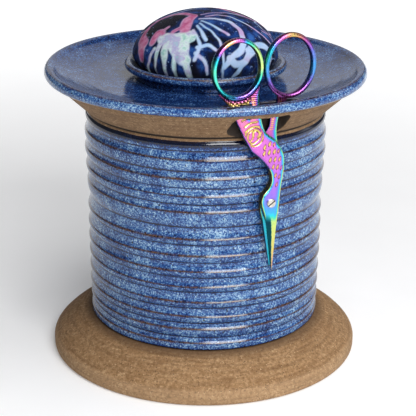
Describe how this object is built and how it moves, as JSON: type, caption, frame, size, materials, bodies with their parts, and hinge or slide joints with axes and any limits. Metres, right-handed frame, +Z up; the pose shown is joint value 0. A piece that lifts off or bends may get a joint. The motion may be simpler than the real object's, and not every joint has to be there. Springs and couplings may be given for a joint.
{
  "type": "yarn bowl",
  "caption": "Lidded spool-shaped stoneware yarn jar with a pincushion set in its lid and embroidery scissors hung through the lid.",
  "frame": {"origin": "on the jar's axis, in the plane the foot stands on", "axes": "+Z up along the jar's axis, -Y towards the front, scissors hang on the front, to the +X side"},
  "size_m": [0.155, 0.155, 0.1718],
  "materials": {
    "raw_stoneware": "unglazed, matt, iron speckle",
    "blue_glaze": "gloss, speckled cobalt breaking brown on the edges",
    "batik_cotton": "batik print, navy with mint, white and magenta",
    "wool_filling": "matt",
    "grey_card": "matt",
    "cotton_thread": "matt",
    "clear_glue": "satin",
    "screw_steel": "satin",
    "rainbow_steel": "gloss, rainbow titanium colours"
  },
  "bodies": {
    "jar": {"foot_flange": "raw_stoneware", "jar_wall": "blue_glaze"},
    "lid": {"lid_dish": "blue_glaze", "lid_locating_ring": "raw_stoneware", "cushion_cup": "blue_glaze", "pincushion_cover": "batik_cotton", "pincushion_filling": "wool_filling", "pincushion_base_card": "grey_card", "gathering_thread": "cotton_thread", "glue_bead": "clear_glue"},
    "scissors_pivot": {"pivot_screw": "screw_steel"},
    "scissors_front": {"scissors_front_half": "rainbow_steel"},
    "scissors_rear": {"scissors_rear_half": "rainbow_steel"}
  },
  "joints": [
    {"name": "lid_lift", "type": "slide", "parent": "jar", "child": "lid", "axis": [0, 0, 1], "range_m": [0, 0.12]},
    {"name": "scissors_lift", "type": "slide", "parent": "lid", "child": "scissors_pivot", "axis": [-0.1271, -0.0566, 0.9903], "range_m": [0, 0.2]},
    {"name": "front_half_open", "type": "hinge", "parent": "scissors_pivot", "child": "scissors_front", "pos_m": [0.02931, -0.05427, 0.0938], "axis": [0.4067, -0.9135, 0], "range_deg": [0, 25]},
    {"name": "rear_half_open", "type": "hinge", "parent": "scissors_pivot", "child": "scissors_rear", "pos_m": [0.02931, -0.05427, 0.0938], "axis": [0.4067, -0.9135, 0], "range_deg": [-25, 0]}
  ],
  "couplings": [
    {"joint": "front_half_open", "follows": "scissors_lift", "rad_per_m": 2.18},
    {"joint": "rear_half_open", "follows": "scissors_lift", "rad_per_m": -2.18}
  ]
}
